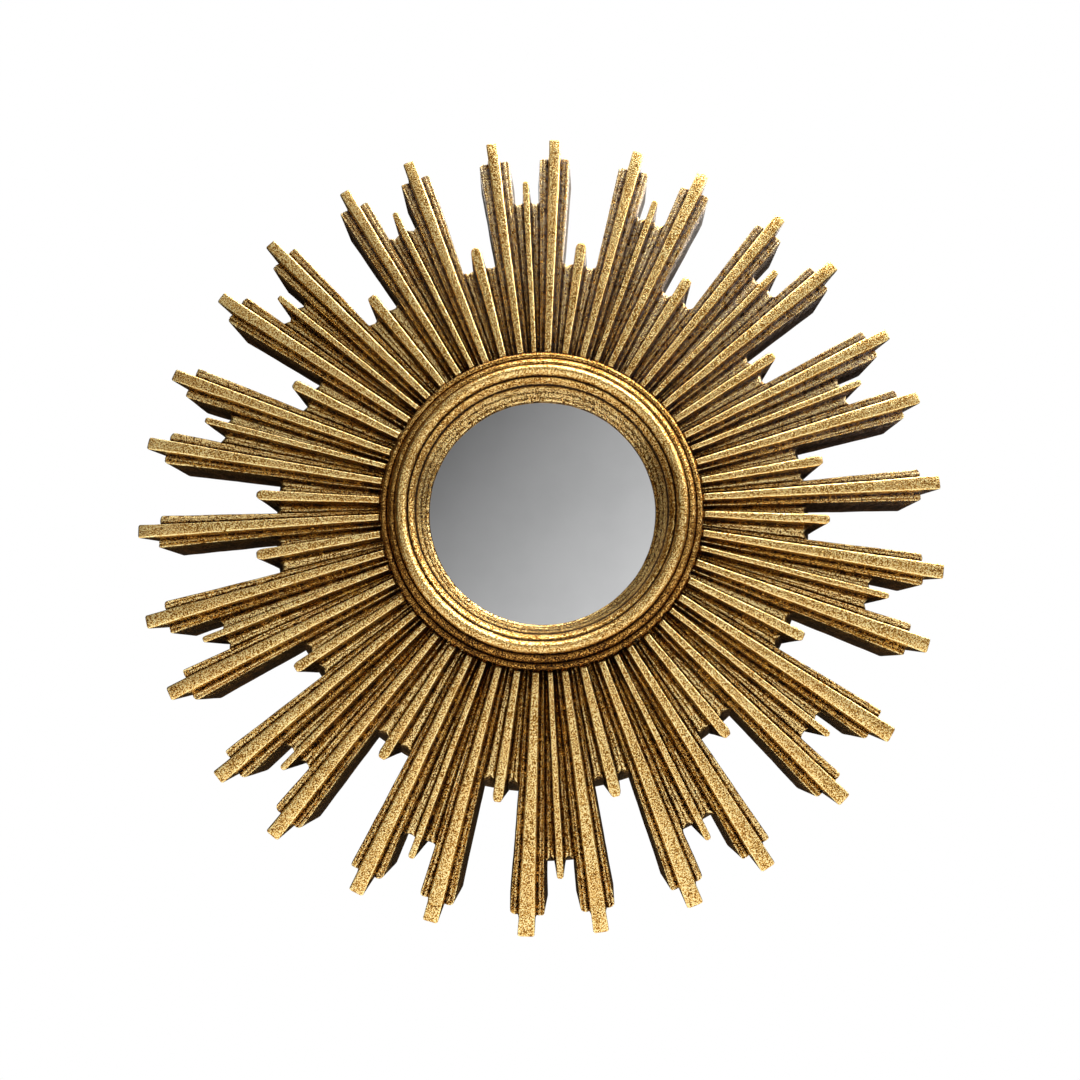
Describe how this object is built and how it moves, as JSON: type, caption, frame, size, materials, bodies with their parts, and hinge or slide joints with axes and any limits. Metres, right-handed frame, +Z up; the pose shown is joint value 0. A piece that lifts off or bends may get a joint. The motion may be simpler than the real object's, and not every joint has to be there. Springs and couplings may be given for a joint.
{
  "type": "wall mirror",
  "caption": "Round wall mirror in a cast sunburst frame: raised bars of three lengths with stepped ledges around a turned moulding, flat-backed, for hanging on a wall.",
  "frame": {"origin": "centre of the flat back, on the wall plane, behind the middle of the glass", "axes": "+Z up as hung, +X to the viewer's right, +Y into the wall; the front looks along -Y"},
  "size_m": [0.5, 0.0424, 0.499],
  "materials": {
    "antique_gilding": "antique gold leaf over cast resin, rubbed bright on the faces, dark umber in the grooves",
    "silvered_glass": "flat silvered glass",
    "fibreboard": "bare brown fibreboard",
    "bright_steel": "zinc-bright pressed steel"
  },
  "bodies": {
    "root": {"sunburst_frame": "antique_gilding", "mirror_glass": "silvered_glass", "back_board": "fibreboard", "saw_hanger": "bright_steel"}
  },
  "joints": []
}
